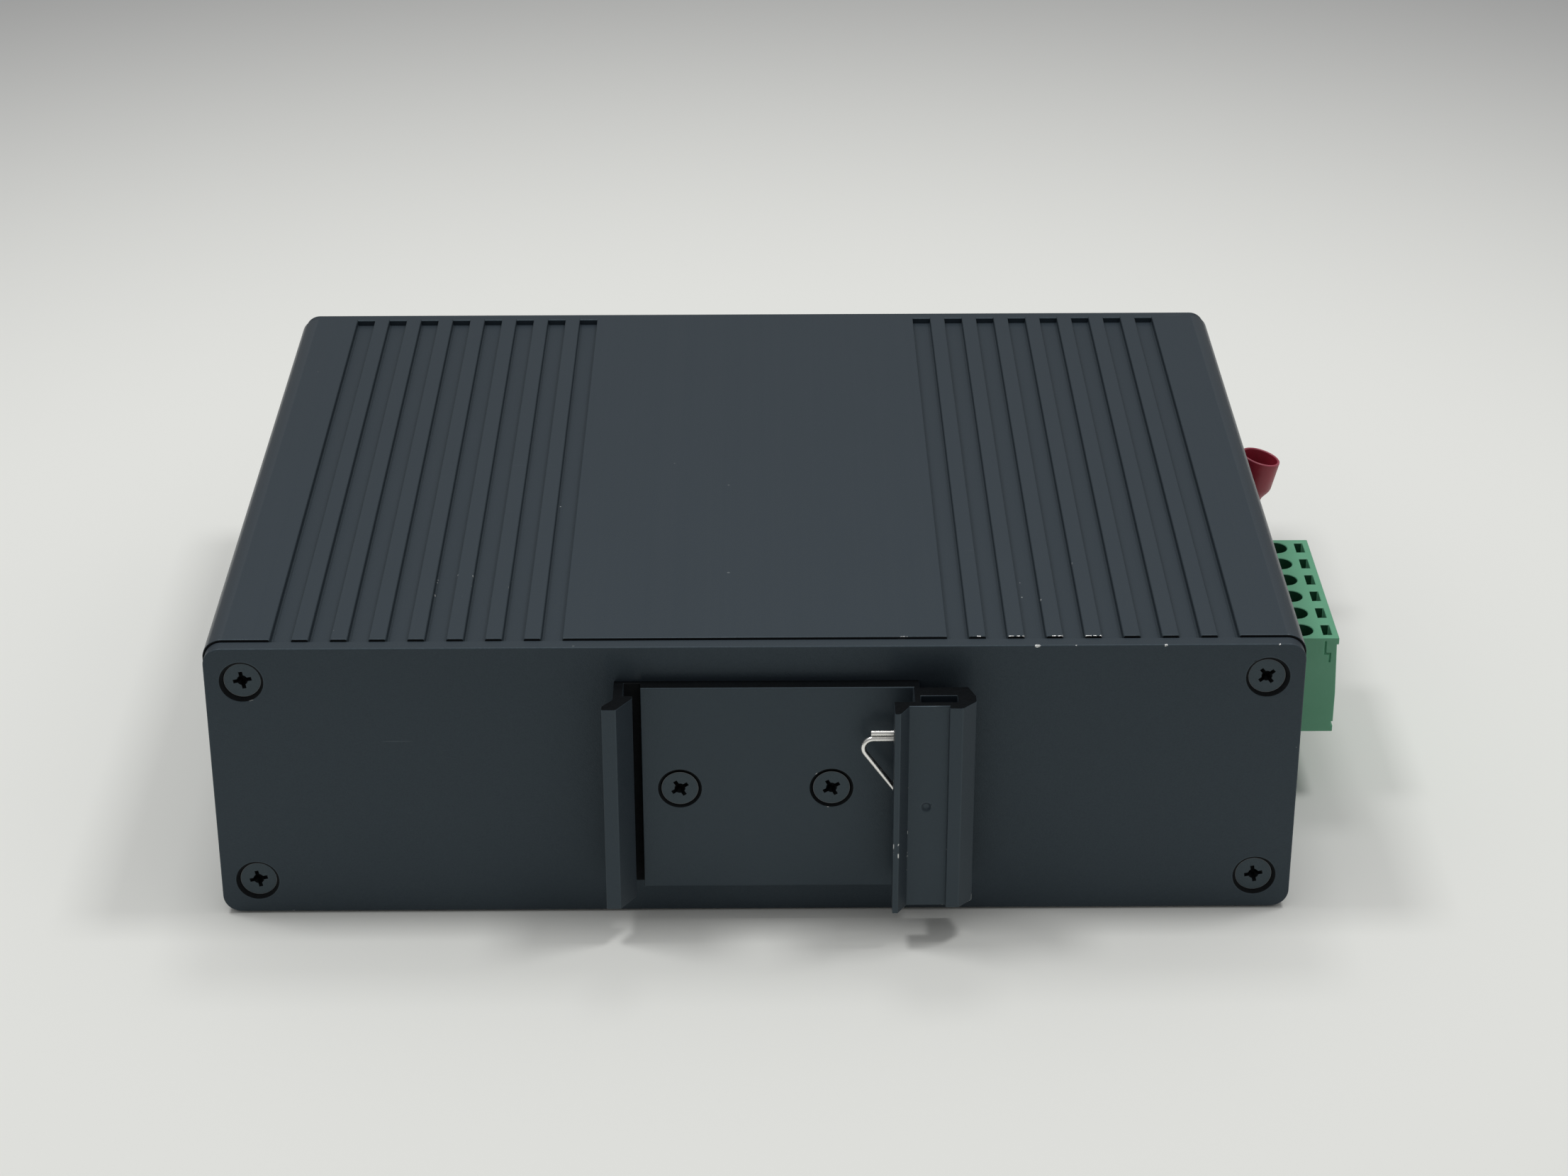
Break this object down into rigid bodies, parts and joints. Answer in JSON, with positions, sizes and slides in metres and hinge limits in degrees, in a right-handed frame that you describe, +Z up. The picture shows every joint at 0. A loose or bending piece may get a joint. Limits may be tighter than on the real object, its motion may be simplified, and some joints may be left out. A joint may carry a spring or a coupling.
{
  "type": "poe switch",
  "caption": "Rail-mounted network switch with power over its ports: ribbed metal case, spring rail clip on the back and pull-off screw terminals on one side.",
  "frame": {"origin": "centre of the ribbed face of the case that the switch lies on", "axes": "+X towards the terminal side, +Y towards the jack side, +Z up through the thickness; the rail clip is on the -Y side and the rail runs along Z"},
  "size_m": [0.1494, 0.12, 0.0394],
  "materials": {
    "case_coat": "fine textured black coating",
    "clip_coat": "black anodised extrusion",
    "plate_screw": "black zinc",
    "clip_screw": "dark zinc",
    "spring_wire": "bright drawn wire",
    "board_laminate": "green solder mask",
    "terminal_green": "moulded polyamide",
    "tin_contact": "tin plated",
    "clamp_steel": "zinc plated",
    "ground_steel": "nickel plated",
    "lug_tin": "tin plated copper",
    "sleeve_red": "flexible insulating sleeve",
    "jack_black": "moulded",
    "shield_steel": "nickel plated sheet",
    "gold_contact": "gold plated",
    "cage_steel": "nickel plated sheet",
    "socket_black": "moulded",
    "lamp_clear": "milky lens",
    "holder_black": "moulded",
    "chip_black": "moulded",
    "pad_grey": "soft pad",
    "sink_black": "black anodised",
    "capacitor_can": "sleeved can",
    "ferrite": "sintered",
    "coil_tape": "tape wound",
    "varistor_blue": "dipped coating",
    "crystal_can": "nickel plated"
  },
  "bodies": {
    "case": {"case_sleeve": "case_coat", "back_plate": "case_coat", "front_plate": "case_coat", "back_plate_screws": "plate_screw", "front_plate_screws": "plate_screw", "rail_clip": "clip_coat", "rail_clip_screws": "clip_screw", "main_board": "board_laminate", "terminal_header": "terminal_green", "header_pins": "tin_contact", "ground_screw": "ground_steel", "ground_washer": "ground_steel", "ground_lug": "lug_tin", "ground_sleeve": "sleeve_red", "jack_block": "jack_black", "jack_shield": "shield_steel", "jack_contacts": "gold_contact", "module_cage_1": "cage_steel", "module_cage_2": "cage_steel", "module_socket_1": "socket_black", "module_socket_2": "socket_black", "lamp_holder": "holder_black", "status_lamps": "lamp_clear", "switch_chip": "chip_black", "thermal_pad": "pad_grey", "heat_sink": "sink_black", "magnetics_1": "chip_black", "magnetics_2": "chip_black", "magnetics_3": "chip_black", "magnetics_4": "chip_black", "power_controller_1": "chip_black", "power_controller_2": "chip_black", "bulk_capacitor_1": "capacitor_can", "bulk_capacitor_2": "capacitor_can", "bulk_capacitor_3": "capacitor_can", "power_inductor_1": "ferrite", "power_inductor_2": "ferrite", "transformer_core": "ferrite", "transformer_winding": "coil_tape", "varistors": "varistor_blue", "crystal": "crystal_can"},
    "spring": {"rail_spring": "spring_wire"},
    "plug": {"terminal_plug": "terminal_green", "plug_clamp_screws": "clamp_steel", "plug_clamp_cages": "clamp_steel", "plug_contacts": "tin_contact"}
  },
  "joints": [
    {"name": "spring_press", "type": "slide", "parent": "case", "child": "spring", "axis": [1, 0, 0], "range_m": [0, 0.0022], "stiffness_N_per_m": 4000},
    {"name": "plug_pull", "type": "slide", "parent": "case", "child": "plug", "axis": [1, 0, 0], "range_m": [0, 0.012]}
  ]
}
